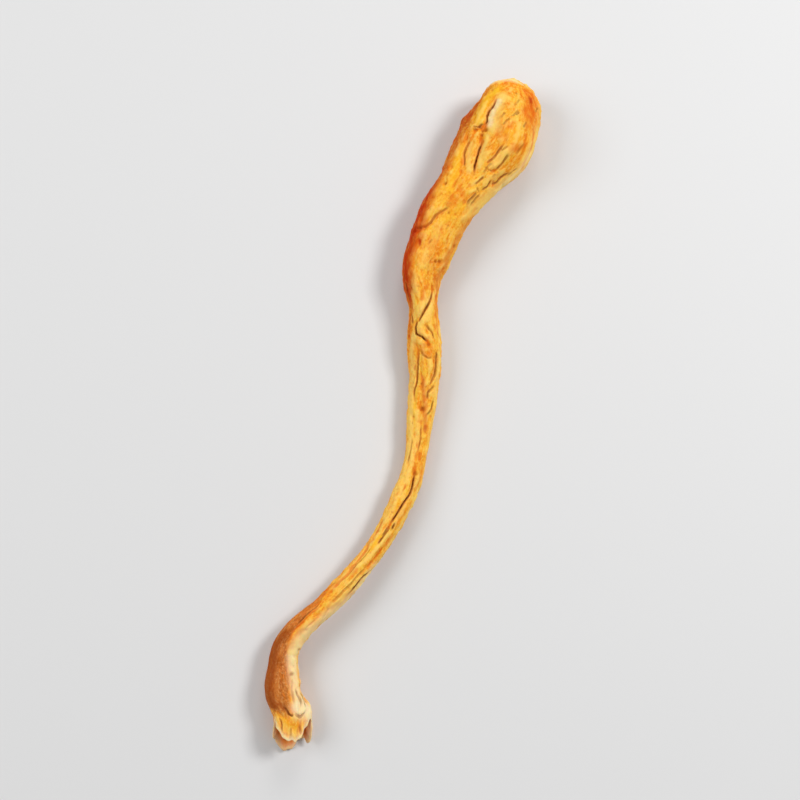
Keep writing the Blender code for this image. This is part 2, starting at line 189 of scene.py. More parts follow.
# The inside of the mouth and its rounded lip: depth along the stem, share of the radius.
MOUTH = (
    (0.0, 1.0), (-0.07, 0.975), (-0.07, 0.935), (0.05, 0.9), (0.6, 0.8),
    (1.3, 0.68), (2.0, 0.5), (2.45, 0.26), (2.55, 0.06),
)
MOUTH_FOLLOW = 0.7  # the inner wall follows the outer relief by this share
MOUTH_END_MM = 3.0  # up to here the relief stands away from the middle line
RAG_MM = 0.16  # the raggedness of the lip
RAG_SIZE_MM = 0.45
RAG_FADE_MM = 0.9

# The folds, lines and strokes of colour waver.
WARP_MM = 0.16
WARP_SIZE_MM = 1.4
VALLEY_SHARE = 0.36  # of the depth that the solid gives a fold
RIM_SHARE = 0.4
LAP_SHARE = 0.45

# Fine furrows that are cut crisply into the skin: their path, depth, how dark the painted
# shade along them is, and for some the half-width. Folds that the solid lacks, such as the
# stem's hook, are here too.
LINES = (
    # head
    (((70, 111), (69, 114), (68.4, 118), (67.8, 118), (67.1, 114), (66.5, 117)), 0.24, 0.9, 0.09),
    (((66.8, 118), (66.2, 123), (65.8, 131)), 0.16, 0.8, 0.09),
    (((64.8, 107), (63.9, 102), (63.4, 96), (62.8, 92), (62.3, 90), (61.3, 80)), 0.26, 0.95, 0.09),
    (((64.4, 126), (63.4, 124), (62.7, 120), (62.1, 112), (61.4, 102)), 0.12, 0.45, 0.09),
    (((65.6, 74), (65, 74), (64.1, 73), (63.2, 74)), 0.15, 0.6, 0.085),
    (((65.2, 60), (64.6, 60), (63.9, 58), (63.3, 56)), 0.15, 0.65, 0.085),
    (((65.6, 67), (65.2, 69), (64.9, 71)), 0.09, 0.5),
    (((64.2, 35), (63.6, 39), (63, 38), (62.3, 37), (61.6, 41)), 0.18, 0.65, 0.085),
    (((62, 50), (61.3, 45), (60.6, 47)), 0.15, 0.65, 0.085),
    (((63, 51), (62.2, 51)), 0.08, 0.45),
    (((62.8, 75), (62.8, 64), (62.9, 58)), 0.08, 0.4),
    (((61.8, 62), (61.2, 64), (60.6, 66)), 0.15, 0.6, 0.085),
    (((63.8, 68), (63, 70), (61.9, 68)), 0.1, 0.45),
    (((70.6, 22), (70, 29)), 0.1, 0.5),
    (((60.2, 51), (59.6, 51), (59, 53), (58.4, 51)), 0.12, 0.5),
    (((60.5, 61), (60.4, 53), (60.3, 46)), 0.1, 0.4),
    (((60.2, 43), (59.6, 45), (58.6, 47)), 0.12, 0.5),
    (((67.9, 80), (67.6, 84), (67, 88)), 0.1, 0.5),
    (((68.4, 90), (68, 92), (67.6, 94)), 0.09, 0.4),
    (((69.2, 72), (68.6, 76), (68.1, 80)), 0.1, 0.5),
    (((70.5, 72), (69.9, 76), (69.4, 80)), 0.09, 0.4),
    (((68.4, 52), (67.8, 56), (67.5, 58)), 0.1, 0.5),
    (((69, 70), (68.4, 75)), 0.09, 0.6),
    (((66.6, 48), (66, 52), (65.4, 52)), 0.08, 0.35),
    (((65, 30), (64.4, 33), (63.6, 34)), 0.09, 0.5),
    # neck
    (((57.5, 80), (56.7, 88), (55.9, 98), (55.1, 106), (54.5, 116), (54.2, 130), (54.3, 146)),
     0.16, 0.4, 0.08),
    (((55.6, 60), (54.9, 62)), 0.06, 0.25),
    (((53.7, 86), (53, 90)), 0.06, 0.25),
    (((52.4, 66), (51.2, 70), (50, 68)), 0.05, 0.15),
    # upper stem
    (((48.5, 43), (47.4, 62), (46.3, 86), (45.6, 100), (44.9, 112)), 0.26, 0.8, 0.09),
    (((45.3, 112), (44.6, 122), (44, 120), (43.7, 98), (43.4, 90), (43.1, 80)), 0.26, 1, 0.095),
    (((44.9, 86), (44.3, 72), (44, 60), (43.3, 54)), 0.14, 0.55, 0.08),
    (((42.3, 106), (41.8, 98), (41.5, 80), (41.6, 64)), 0.1, 0.5),
    (((42.1, 110), (41.3, 120), (40.2, 124), (39.3, 128), (38.3, 134), (37.2, 134)), 0.16, 0.55, 0.08),
    (((42.3, 50), (41.7, 45), (40.7, 43), (39.9, 48), (39.3, 56), (38.6, 72)), 0.17, 0.6, 0.085),
    (((38.9, 46), (38.5, 58), (38.1, 72), (37.3, 74)), 0.13, 0.5, 0.08),
    (((37.6, 46), (36.5, 52), (35.6, 66)), 0.17, 0.6, 0.085),
    (((46.2, 150), (45.6, 142), (44.9, 134)), 0.12, 0.6, 0.08),
    (((34.8, 84), (33.2, 80), (31.8, 78)), 0.08, 0.35),
    (((33.6, 122), (32, 126), (30.2, 128)), 0.08, 0.35),
    # lower stem
    (((29.9, 66), (29.2, 66), (28.3, 60), (27.5, 60), (26.4, 72), (25.6, 80), (24.8, 90), (23.8, 94)),
     0.26, 1, 0.09),
    (((24.1, 92), (23.5, 94), (22.6, 92)), 0.12, 0.7),
    (((24.5, 74), (23.8, 69)), 0.14, 0.9, 0.08),
    (((23.9, 84), (22.9, 86), (21.6, 82)), 0.13, 0.7, 0.08),
    (((21.8, 12), (20.5, 14), (19.6, 21), (18.6, 39), (17.2, 48), (15.8, 50)), 0.17, 0.9, 0.08),
    (((21.4, 104), (19.4, 112), (17.6, 116)), 0.09, 0.4),
    (((19.6, 66), (17.8, 72), (15.8, 74), (14.2, 70)), 0.09, 0.4),
    (((14, 118), (12.4, 112), (10.8, 106)), 0.12, 0.5, 0.08),
    # foot: the ribs of the strip and the fan, the edge of the fan and the hooked crease
    (((5.6, 58), (4.6, 60), (3.7, 66), (3, 72)), 0.08, 0.3),
    (((4.2, 52), (3.2, 52), (2, 47)), 0.1, 0.55),
    (((3.4, 42), (2.2, 38), (1.2, 30)), 0.11, 0.55),
    (((3.2, 30), (2.2, 25), (1.4, 18)), 0.1, 0.4),
    (((2.5, 80), (2, 68), (1.6, 58), (1.2, 46), (1.1, 34)), 0.16, 0.55, 0.08),
    (((1.1, 64), (0.6, 60), (0, 56)), 0.1, 0.4),
    (((3.1, 106), (2.7, 100), (2.3, 94), (2.2, 86), (2.4, 80)), 0.22, 0.75, 0.085),
    (((1.6, 122), (0.9, 118), (0.2, 116)), 0.12, 0.5, 0.09),
    (((1.2, 92), (0.5, 90), (-0.2, 92)), 0.1, 0.5),
    # flanks and underside
    (((68.5, 168), (66, 172), (63, 176), (60, 170)), 0.14, 0.7, 0.095),
    (((53, 170), (50, 160), (47, 164)), 0.12, 0.6, 0.095),
    (((66, 232), (61, 226), (56, 236), (51, 230)), 0.18, 0.8, 0.1),
    (((67, 276), (62, 284), (56, 276), (50, 284)), 0.18, 0.8, 0.1),
    (((62, 318), (57, 326), (52, 320)), 0.16, 0.8, 0.1),
    (((46, 250), (41, 256), (36, 246)), 0.16, 0.8, 0.09),
    (((44, 312), (39, 320), (34, 314)), 0.16, 0.8, 0.09),
    (((30, 240), (24, 246), (18, 238)), 0.15, 0.8, 0.09),
    (((28, 312), (22, 320), (16, 310)), 0.15, 0.8, 0.09),
    (((12, 236), (8, 244), (4, 238)), 0.15, 0.8, 0.09),
    (((12, 304), (8, 312), (4, 306)), 0.15, 0.8, 0.09),
)

LINE_HALF_WIDTH_MM = 0.075  # unless the table has another
LINE_REACH_MM = 0.32  # how far from a furrow its line layer falls to nothing
LINE_END_SHARE = 0.2  # of its length, over which each end fades
LINE_LIPS_AT = 2.2  # half-widths from the furrow to the raised lips beside it
LINE_LIPS_SHARE = 0.3  # their height as a share of its depth

# Single pits: mm along, degrees round, radius and depth.
PITS = (
    (66, 108, 0.2, 0.16), (65.3, 110, 0.17, 0.14), (66.1, 120, 0.17, 0.14),
    (65.6, 126, 0.18, 0.16), (65.8, 113, 0.15, 0.12), (71, 79, 0.14, 0.1),
    (59.1, 122, 0.18, 0.12), (56.7, 74, 0.14, 0.08), (54, 19, 0.15, 0.12),
    (51.6, 54, 0.15, 0.14), (51.8, 43, 0.15, 0.14), (36.3, 88, 0.2, 0.24),
    (29.8, 66, 0.18, 0.18), (24, 70, 0.14, 0.12), (9, 30, 0.14, 0.1),
    (5.9, 56, 0.15, 0.14), (42.8, 78, 0.15, 0.12), (38.9, 104, 0.12, 0.08),
)

# Creases all over the skin, finer than the wrinkles, in patches, with ripples and grain.
CREASE_MM = 0.062
CREASE_LENGTH_MM = 2.2
CREASE_AROUND_MM = 0.52
CREASE_NARROW = 0.16
CREASE_SWAY_MM = 0.5
CREASE_SWAY_SIZE_MM = 2.3
CREASE_PATCH_MM = 4.0
CREASE_PATCH_NOISE = (-0.2, 0.35)  # the noise at which a patch begins and is full
CREASE_LEAST = 0.45  # the share of its depth between the patches
CREASE_MOST = 1.35  # and in their middle
RIPPLE_MM = 0.084
RIPPLE_LENGTH_MM = 0.8
RIPPLE_AROUND_MM = 0.5
GRAIN_MM = 0.054
GRAIN_LENGTH_MM = 0.312
GRAIN_AROUND_MM = 0.24
PORE_COUNT = 900
PORE_RADIUS_MM = (0.06, 0.1)
PORE_DEPTH_MM = (0.02, 0.05)
PORE_SEED = 11

# How high the skin lies in its surroundings: the two blurs compared and the full height.
# The hollows get painted shade by it, and the crests painted highlight.
SMALL_RELIEF_MM = (0.09, 0.42, 0.09)
LARGE_RELIEF_MM = (0.25, 1.1, 0.22)
LEAST_RADIUS_MM = 0.3  # that a blur reckons with
# Pits are darkened by their depth: partly the pores' own darker colour, partly painted shade.
PIT_FULL_MM = 0.08  # how deep a pit has its full colour
TORN_EDGE_MM = 0.38  # how wide the pale torn edge is
TORN_EDGE_INSIDE = 0.7  # its share on the inner wall

# ---- colours on the skin

# How strongly the left flank is tinted red along the stem: (mm along, share). This red, on
# the left flank and the underside, is partly the skin's redder colour and partly painted shade.
LEFT_FLANK_RED_AND_SHADE = (
    (0, 0.2), (3, 0.3), (10, 0.6), (13, 0.3), (17, 0.15), (31, 0.05), (43, 0.1),
    (46, 0.4), (49, 1), (57, 1), (60, 0.75), (64, 0.8), (68, 0.9), (70, 0.45), (73, 0.1),
)
LEFT_FLANK_RED_AND_SHADE_DEG = (126, 156)
UNDERSIDE_RED_AND_SHADE_DEG = ((200, 250), (-20, -70))
UNDERSIDE_RED_AND_SHADE_SHARE = 0.6
FLANK_RED_AND_SHADE = 0.95
# How strongly the right flank is made cream along the stem: (mm along, share). The cream is partly
# paler skin, such as the foot's strip, and partly painted highlight.
RIGHT_FLANK_PALE_AND_HIGHLIGHT = (
    (0, 0.5), (4, 0.6), (10, 0.3), (28, 0.1), (32, 0.35), (40, 0.1), (57, 0), (60, 0.6),
    (62, 1), (66, 1), (69, 0.2), (73, 0.1),
)
RIGHT_FLANK_PALE_AND_HIGHLIGHT_DEG = (42, 18)
RIGHT_FLANK_PALE_AND_HIGHLIGHT_BELOW_DEG = (-60, -20)

# How yellow the skin is along the stem, rather than orange: (mm along, share).
YELLOW_ALONG = ((0, 0.4), (7, 0.5), (18, 0.8), (31, 0.85), (42, 0.8), (50, 0.75), (60, 0.65), (73, 0.6))

# Soft strokes of each colour: their path, half-width and strength.
STROKES = {}
# Cream: paler skin, such as the foot's ribbon, and painted highlights on rims, edges, facets and
# ridges.
STROKES["cream"] = (
    # head: painted highlights on the facet, the rim of the top, the right edge and the ridges
    (((70.2, 102), (69.2, 104), (68.3, 106), (67.3, 104), (66.5, 98)), 0.55, 1),
    (((71.9, 166), (72.3, 150), (72.6, 130), (72.8, 108), (72.8, 68), (72.7, 10)), 0.32, 1),
    (((68.2, 4), (66.8, 8), (65.6, 16), (64.6, 20), (63.4, 18), (62.1, 14), (60.6, 14), (58.9, 14)),
     0.8, 1),
    (((64.9, 70), (64.3, 69), (63.9, 69), (63.2, 67)), 0.16, 0.9),
    (((65.3, 65), (64.7, 65), (63.7, 64), (63.1, 62)), 0.14, 0.9),
    (((61.7, 44), (62.9, 45), (63.5, 45)), 0.14, 0.8),
    (((60.4, 70), (61.3, 67), (61.8, 65)), 0.13, 0.9),
    (((66.2, 35), (65.4, 35)), 0.2, 0.7),
    (((60.6, 34), (59.6, 36), (58.8, 38)), 0.22, 0.7),
    (((63.8, 118), (62.9, 113), (62.4, 104), (61.4, 92)), 0.26, 0.8),
    (((65.5, 99), (64.3, 98), (63.6, 91), (62.8, 84), (62.3, 80)), 0.22, 1),
    (((60.4, 34), (58.8, 36), (57.2, 38)), 0.4, 0.6),
    # neck: painted highlight on the rim over the crease
    (((54.3, 117), (54, 128), (54, 143)), 0.12, 0.7),
    (((54.8, 76), (53.6, 82), (52, 86), (50.8, 84)), 0.5, 0.35),
    # upper stem: painted highlights on both sides of the furrow and on the pale strips at the edges
    (((47.9, 56), (46.7, 90), (45.7, 106)), 0.18, 0.8),
    (((47.9, 40), (46.8, 66), (46, 80), (45.2, 95), (44.8, 106)), 0.22, 1),
    (((49.8, 108), (48.7, 124), (47.3, 132), (45.6, 132)), 0.35, 0.6),
    (((43.8, 130), (43, 134), (42.2, 146), (41, 151), (39.3, 150), (37.6, 150), (36, 143),
      (34.4, 139), (32.8, 139), (31.1, 139)), 0.42, 1),
    (((44.6, 14), (43.2, 20), (41.9, 21), (40.4, 24), (38.5, 32), (36.3, 24), (34.8, 18), (33.2, 12)),
     0.3, 1),
    (((36, 108), (33.9, 100), (32.8, 99), (31.7, 104), (30.5, 106)), 0.3, 0.9),
    # lower stem: painted highlights on the left side of the deep furrow, its right edge, and the ridge
    (((32.7, 102), (31.4, 114), (29.9, 110), (28.7, 104), (27.2, 106)), 0.26, 0.9),
    (((28.3, 14), (26.1, 18), (24.3, 18), (22.4, 16), (20.4, 6), (18.4, 8), (16.7, 14)), 0.26, 1),
    (((33.5, 122), (31, 126), (28.5, 122), (26, 120), (24, 122)), 0.26, 0.6),
    (((31, 146), (28, 140), (24.6, 136), (21.4, 132), (18.6, 130), (16, 126)), 0.42, 0.75),
    (((23.5, 66), (22.2, 74), (20.9, 78), (19.7, 90), (18.6, 108)), 0.14, 0.8),
    (((25.9, 158), (24.2, 166), (22.2, 164), (20, 159), (18.2, 164)), 0.14, 0.6),
    # ribbon
    (((17.6, 14), (15.3, 24), (13.3, 34), (11.6, 44), (10.3, 48), (8.8, 46), (7.3, 40)), 0.62, 1),
    (((13.6, 58), (12.1, 62), (10.1, 66), (8.4, 58), (6.8, 50)), 0.3, 0.6),
    # the tongue and the lip
    (((1.2, 120), (0.9, 104), (0.7, 90), (0.6, 74)), 0.4, 0.6),
    (((2, 190), (1.2, 180), (0.6, 160), (0.3, 140), (0.1, 120), (0, 100)), 0.2, 0.9),
)
# White: the foot's pale strip, fan and lip, and painted highlights on the head.
STROKES["white"] = (
    # head: painted highlights on the rim of the top, the left side of the facet, and the right edge
    (((71.7, 160), (72.2, 140), (72.55, 112), (72.65, 84), (72.7, 60)), 0.24, 0.5),
    (((69.6, 106), (68.6, 109), (67.6, 109), (66.7, 106)), 0.32, 0.75),
    (((66.2, 14), (64.8, 19), (63.2, 18), (61.6, 15)), 0.4, 0.35),
    # the ribbed strip and the fan of the foot
    (((7.8, 50), (6.4, 48), (5.5, 50), (4.6, 50), (3.6, 54), (3, 56)), 0.5, 0.75),
    (((2.8, 66), (2, 48), (1.1, 32), (0.5, 20)), 0.6, 1),
    (((6.8, 6), (5.4, 12), (4, 10), (2.4, 14)), 0.24, 0.8),
    # the ribbon above it, and the left margin of the lip
    (((20, 8), (17.6, 14), (15.3, 24), (13.3, 34), (11.6, 40), (10.3, 42), (8.4, 42)), 0.55, 0.55),
    (((2.6, 176), (1.9, 166), (1.2, 150), (0.5, 132)), 0.13, 0.6),
)
STROKES["yellow"] = (
    (((71.1, 118), (70.2, 130), (69, 132), (67.9, 132), (66.9, 128)), 0.55, 1),
    (((63.2, 130), (62, 126), (60.6, 116), (58.7, 104)), 0.45, 0.7),
    (((66.4, 78), (66.4, 64), (66.2, 48)), 0.4, 0.4),
    (((55.8, 76), (56.9, 64), (58, 60)), 0.45, 0.5),
    (((38.2, 128), (37.3, 130), (36, 122), (34.6, 112)), 0.26, 0.7),
    (((22.6, 98), (21.6, 102), (20.4, 109), (19.4, 114)), 0.26, 0.9),
    (((28.6, 84), (27, 92), (25.6, 100)), 0.24, 0.5),
    (((1.6, 128), (1.5, 112), (1.2, 96), (0.9, 80), (0.9, 66)), 0.42, 0.5),
)
STROKES["orange"] = (
    (((15.4, 152), (13.8, 146), (12.4, 138), (11, 122), (9.8, 116)), 0.32, 0.8),
    (((13.8, 100), (12.6, 104), (11.2, 93), (10.1, 97), (9.3, 86)), 0.12, 0.9),
    (((65.5, 61), (65.9, 54), (66.4, 45)), 0.22, 0.8),
    (((71.4, 36), (70.7, 38), (70, 42), (69.2, 48)), 0.95, 0.9),
    (((70, 40), (69, 42), (68, 50)), 0.55, 0.45),
    (((66.4, 50), (65.8, 60)), 0.2, 0.6),
    (((59.2, 80), (58.6, 66)), 0.3, 0.6),
    (((58.3, 90), (57.3, 88)), 0.26, 0.6),
    (((64, 100), (63.1, 93), (62.3, 88)), 0.16, 0.4),
    (((54, 124), (52.8, 120), (51.8, 118)), 0.3, 0.7),
    (((48.9, 68), (48.2, 86), (47.4, 94)), 0.2, 0.8),
    (((42.8, 96), (42.9, 82), (42.4, 66), (41.7, 74), (41.8, 92), (42.4, 102)), 0.2, 0.45),
    (((39.9, 110), (38.7, 94), (37.2, 88)), 0.2, 0.5),
    (((31.8, 68), (31.2, 66)), 0.2, 0.9),
    (((30.4, 76), (29.4, 78), (28.2, 74)), 0.16, 0.5),
    (((18.6, 96), (17.8, 90)), 0.18, 0.6),
    (((60, 96), (58.8, 84), (57.8, 76)), 0.3, 0.4),
    (((61, 148), (58.6, 142), (56.4, 132), (54.4, 124), (52.2, 122), (50.2, 126)), 0.6, 0.6),
    (((1.9, 94), (1.5, 88)), 0.22, 0.4),
    (((40, 300), (35, 296)), 0.8, 0.5),
    (((62, 250), (56, 262)), 1.2, 0.5),
    (((24, 260), (18, 256)), 0.7, 0.5),
)
# Red-orange: blush that is the skin's own on the head, and painted shade on the left flank of the neck
# and on the underside.
STROKES["red"] = (
    (((58.4, 162), (56, 150), (53.8, 148), (51.4, 150), (49, 156)), 1.15, 1),
    (((51.6, 138), (50.4, 128), (49.4, 132)), 0.45, 0.8),
    (((69.3, 152), (68.5, 160), (67.6, 168), (66.4, 171), (65.4, 176)), 0.46, 0.9),
    (((71.1, 43), (70.8, 42)), 0.3, 0.9),
    (((63.7, 172), (62.4, 170), (61.2, 170), (59.4, 164)), 0.4, 0.6),
    (((57, 158), (56, 156), (55, 152)), 0.45, 0.8),
    (((53.8, 154), (52.3, 138), (51.4, 130), (50.5, 128), (49, 144), (47, 156)), 0.5, 0.9),
    (((53, 116), (52.6, 110)), 0.18, 0.9),
    (((45.8, 160), (44.8, 158), (43.8, 160)), 0.34, 0.7),
    (((34.6, 64), (34, 61)), 0.16, 0.6),
    (((64, 222), (58, 214), (52, 220)), 0.9, 0.7),
    (((66, 300), (60, 292), (54, 300)), 0.9, 0.6),
    (((44, 236), (38, 230), (32, 238)), 0.6, 0.6),
    (((30, 300), (24, 292), (18, 300)), 0.5, 0.6),
)
# Peach: patches of the skin's colour, and painted shade along the right edge of the neck.
STROKES["peach"] = (
    (((13.3, 62), (11.6, 66), (10.3, 70), (8.8, 62)), 0.22, 0.6),
    (((58.8, 6), (57.2, 12), (55.4, 20), (53, 24), (51, 24), (48.6, 20), (46.6, 16)), 0.55, 0.9),
    (((39.6, 98), (38.7, 90), (37, 82), (36.1, 76), (35, 66), (34.4, 62)), 0.24, 0.9),
    (((30.6, 44), (29.6, 38), (28.4, 34)), 0.24, 0.5),
    (((16.4, 40), (14.6, 46), (12.6, 50), (10.8, 52)), 0.34, 0.5),
    (((6.9, 54), (5.6, 52)), 0.3, 0.4),
    (((66.8, 88), (65.9, 84), (66.2, 76)), 0.3, 0.5),
)
# Greenish-grey painted shade, as beside the head's facet.
STROKES["grey_shade"] = (
    (((69.3, 97), (68.4, 97), (67.4, 96), (66.8, 92)), 0.22, 0.5),
    (((59.8, 49), (59.2, 49), (58.4, 48)), 0.24, 0.6),
    (((42.4, 42), (41, 38), (39.6, 42)), 0.12, 0.5),
    (((32.2, 142), (30.8, 146), (29.5, 152), (27.8, 154)), 0.2, 0.5),
)

# The smooth brown flank of the foot lies left of this line. Its share along the stem is
# below, and the darker strokes on it.
FLANK_EDGE = (
    (2.4, 92), (3.9, 76), (5.1, 64), (6, 66), (7.2, 64), (8.2, 70), (9.2, 82), (10, 90),
    (11, 96), (12.5, 106), (14, 124),
)
FLANK_EDGE_SOFT_MM = (-0.1, 0.22)
FLANK_SMOOTHNESS = 0.8
FLANK_BLUR_MM = 0.45
BROWN_FLANK = ((1.6, 0), (2.6, 0.9), (8, 1), (10.5, 0.85), (13, 0.45), (15.5, 0))
BROWN_FLANK_DEG = (235, 195)
STROKES["dark_flank"] = (
    (((9.4, 128), (7.6, 132), (6, 130), (5.1, 132), (4.2, 138), (3, 136)), 0.55, 0.9),
    (((8.4, 160), (6, 160), (4, 164), (2.6, 170)), 0.6, 0.9),
    (((3.3, 112), (2.8, 104)), 0.26, 0.7),
)


def spline(knots, values):
    """A natural cubic spline. It returns values and slopes, straight on past both ends."""
    count = len(knots)
    gap = np.diff(knots)
    rise = np.diff(values, axis=0) / gap[:, None]
    right = np.zeros_like(values)
    right[1:-1] = 6 * np.diff(rise, axis=0)
    matrix = np.eye(count)
    for i in range(1, count - 1):
        matrix[i, i - 1 : i + 2] = gap[i - 1], 2 * (gap[i - 1] + gap[i]), gap[i]
    bend = np.linalg.solve(matrix, right)

    def at(where):
        inside = np.clip(where, knots[0], knots[-1])
        i = np.clip(np.searchsorted(knots, inside, side="right") - 1, 0, count - 2)
        h = gap[i][..., None]
        a = (knots[i + 1] - inside)[..., None] / h
        b = 1 - a
        slope = rise[i] + h / 6 * ((1 - 3 * a**2) * bend[i] + (3 * b**2 - 1) * bend[i + 1])
        value = a * values[i] + b * values[i + 1]
        value = value + h**2 / 6 * ((a**3 - a) * bend[i] + (b**3 - b) * bend[i + 1])
        return value + slope * (where - inside)[..., None], slope

    return at


def middle_line():
    """The spline of (x, y, z of the middle, half-width, half-thickness), and its length."""
    x, y, width, thickness, lift = np.array(STATIONS_MM).T
    steps = np.hypot(np.diff(x), np.diff(y))
    along = np.concatenate([[0], np.cumsum(steps)])
    rows = np.stack([x, y, lift + thickness / 2, width / 2, thickness / 2], axis=1)
    return spline(along, rows), along[-1]


def smooth(edge0, edge1, value):
    """0 at edge0, 1 at edge1, and a smooth rise between."""
    t = np.clip((value - edge0) / (edge1 - edge0), 0, 1)
    return t * t * (3 - 2 * t)


def turn(degrees, middle=0):
    """An angle in degrees as the same angle within 180 of the middle."""
    return (degrees - middle + 180) % 360 - 180 + middle


def lip_reach(angle):
    """How far the torn lip reaches past the foot's end, in mm."""
    degrees, reach = np.array(LIP_MM).T
    return np.interp(turn(angle), degrees, reach, period=360)


def rings(length):
    """(distance along, share of the radius, inside share) of each ring, mouth first."""
    depth, share = np.array(MOUTH).T
    run = np.concatenate([[0], np.cumsum(np.hypot(np.diff(depth), 1.6 * np.diff(share)))])
    at_run = np.linspace(run[-1], 0, MOUTH_RINGS, endpoint=False)
    mouth = [(np.interp(r, run, depth), np.interp(r, run, share), 1) for r in at_run]
    straight = length - HEAD_ROUND_MM
    places = np.linspace(0, straight, round(straight / RING_GAP_MM), endpoint=False)
    body = [(place, 1, 0) for place in places]
    end = []
    for i in range(HEAD_END_RINGS):
        t = math.sin(math.pi / 2 * i / HEAD_END_RINGS)
        share = (1 - t**HEAD_ROUND_POWER) ** (1 / HEAD_ROUND_POWER)
        end.append((straight + HEAD_ROUND_MM * t, share, 0))
    return np.array(mouth + body + end)


def unit(vectors):
    """The vectors at length 1."""
    return vectors / np.linalg.norm(vectors, axis=-1, keepdims=True)


def section_points(at, along, angle, share):
    """Points on the smooth club and the directions away from its middle line, in mm."""
    row, slope = at(along)
    tangent = unit(slope[..., :3])
    side = unit(np.cross(tangent, (0, 0, 1)))
    up = np.cross(side, tangent)
    turned = np.radians(angle)[..., None]
    wide, thick = row[..., 3:4], row[..., 4:5]
    across = side * wide * np.cos(turned) + up * thick * np.sin(turned)
    away = unit(side * np.cos(turned) / wide + up * np.sin(turned) / thick)
    return row[..., :3] + across * share[..., None], away


def outward(points):
    """Unit normals of a grid of points, which closes round each ring."""
    along = np.gradient(points, axis=0)
    around = np.roll(points, -1, axis=1) - np.roll(points, 1, axis=1)
    return unit(np.cross(along, around))


def path_distance(path, along, angle, radius):
    """The distance to a path on the skin, the side of it, and the place along it (0 to 1)."""
    nearest = np.full(along.shape, np.inf)
    side, place = np.zeros((2, *along.shape))
    count = len(path) - 1
    for i, ((s0, a0), (s1, a1)) in enumerate(zip(path[:-1], path[1:])):
        ds = s1 - s0
        dv = np.radians(turn(a1 - a0)) * radius
        u = along - s0
        v = np.radians(turn(angle - a0)) * radius
        t = np.clip((u * ds + v * dv) / (ds * ds + dv * dv), 0, 1)
        gap = np.hypot(u - t * ds, v - t * dv)
        closer = gap < nearest
        nearest = np.where(closer, gap, nearest)
        side = np.where(closer, np.sign(ds * v - dv * u), side)
        place = np.where(closer, (i + t) / count, place)
    return nearest, side, place


def fold_relief(skin, path, depth, half_width, rim, lap=0):
    """The height that one fold adds, in mm."""
    nearest, side, place = path_distance(path, *skin)
    ends = smooth(0, FOLD_END_SHARE, place) * smooth(0, FOLD_END_SHARE, 1 - place)
    valley = -VALLEY_SHARE * depth * np.exp(-((nearest / half_width) ** 2))
    valley = valley * (FOLD_END_DEPTH + (1 - FOLD_END_DEPTH) * ends)
    rims = RIM_SHARE * rim * np.exp(-(((nearest - 2.1 * half_width) / (1.2 * half_width)) ** 2))
    raised = LAP_SHARE * lap * np.exp(-nearest / (4 * half_width)) * (side > 0)
    return valley + (rims + raised) * ends


def near_path(path, reach, ring_along, skin):
    """The rings that a path comes within reach of, and its distance, side and place there."""
    where = [s for s, _ in path]
    near = np.flatnonzero((ring_along > min(where) - reach) & (ring_along < max(where) + reach))
    return near, *path_distance(path, *(grid[near] for grid in skin))


def lines_relief(ring_along, skin):
    """The height that the fine furrows add, in mm, how near they are, and how dark."""
    height, closest, dark = np.zeros((3, *skin[0].shape))
    for path, depth, darkness, *wider in LINES:
        half_width = wider[0] if wider else LINE_HALF_WIDTH_MM
        near, gap, _, place = near_path(path, 6 * half_width, ring_along, skin)
        ends = smooth(0, LINE_END_SHARE, place) * smooth(0, LINE_END_SHARE, 1 - place)
        cut = np.exp(-((gap / half_width) ** 2))
        lips = np.exp(-((gap / half_width - LINE_LIPS_AT) ** 2))
        height[near] -= depth * ends * (cut - LINE_LIPS_SHARE * lips)
        close = np.clip(1 - gap / LINE_REACH_MM, 0, 1)
        dark[near] = np.where(close > closest[near], darkness * ends, dark[near])
        closest[near] = np.maximum(closest[near], close)
    return height, closest, dark


def bump(spot, along, angle, radius):
    """The height that one oval spot adds."""
    where, degrees, half_length, half_width, height = spot
    u = (along - where) / half_length
    v = np.radians(turn(angle - degrees)) * radius / half_width
    return height * np.exp(-(u * u + v * v))


def straightened(skin):
    """The skin's points in mm, as if the stem were straight."""
    along, angle, radius = skin
    turned = np.radians(angle)
    return np.stack([radius * np.cos(turned), radius * np.sin(turned), along], axis=-1)


def field(skin, length, across, seed):
    """Noise over the skin, with features of one length along and one across, in mm."""
    grid = straightened(skin) / (across, across, length)
    shift = seed * NOISE_OFFSET
    values = [noise.noise(Vector(point) + shift) for point in grid.reshape(-1, 3)]
    return np.array(values).reshape(grid.shape[:2])


def wavered(skin):
    """The skin's places shifted a little to and fro, so that drawn lines waver."""
    along, angle, radius = skin
    sway_s, sway_v = (WARP_MM * field(skin, WARP_SIZE_MM, WARP_SIZE_MM, seed) for seed in (4, 5))
    return along + sway_s, angle + np.degrees(sway_v / radius), radius


def main_relief(skin, wavering):
    """The height of the skin over the smooth club, as on the solid, in mm."""
    along, angle, radius = skin
    phase = np.radians(angle) - np.radians(RIDGE_TWIST_DEG_PER_MM) * along
    height = RIDGE_SHARE * radius * np.cos(RIDGE_COUNT * phase)
    height = height + DENT_SHARE * radius * field(skin, DENT_LENGTH_MM, DENT_AROUND_MM, 1)
    waver = field(skin, WAVER_LENGTH_MM, WAVER_AROUND_MM, 2)
    wavy = (along, angle + WAVER_DEG * waver, radius)
    creased = field(wavy, WRINKLE_LENGTH_MM, WRINKLE_AROUND_MM, 3)
    rounded = (creased**2 + WRINKLE_ROUNDING**2) ** 0.25
    height = height + WRINKLE_MM * WRINKLE_SHARPNESS * rounded
    for fold in FOLDS:
        height = height + fold_relief(wavering, *fold)
    for swelling in SWELLINGS:
        height = height + bump(swelling, *skin)
    return height - height.mean(axis=1, keepdims=True)


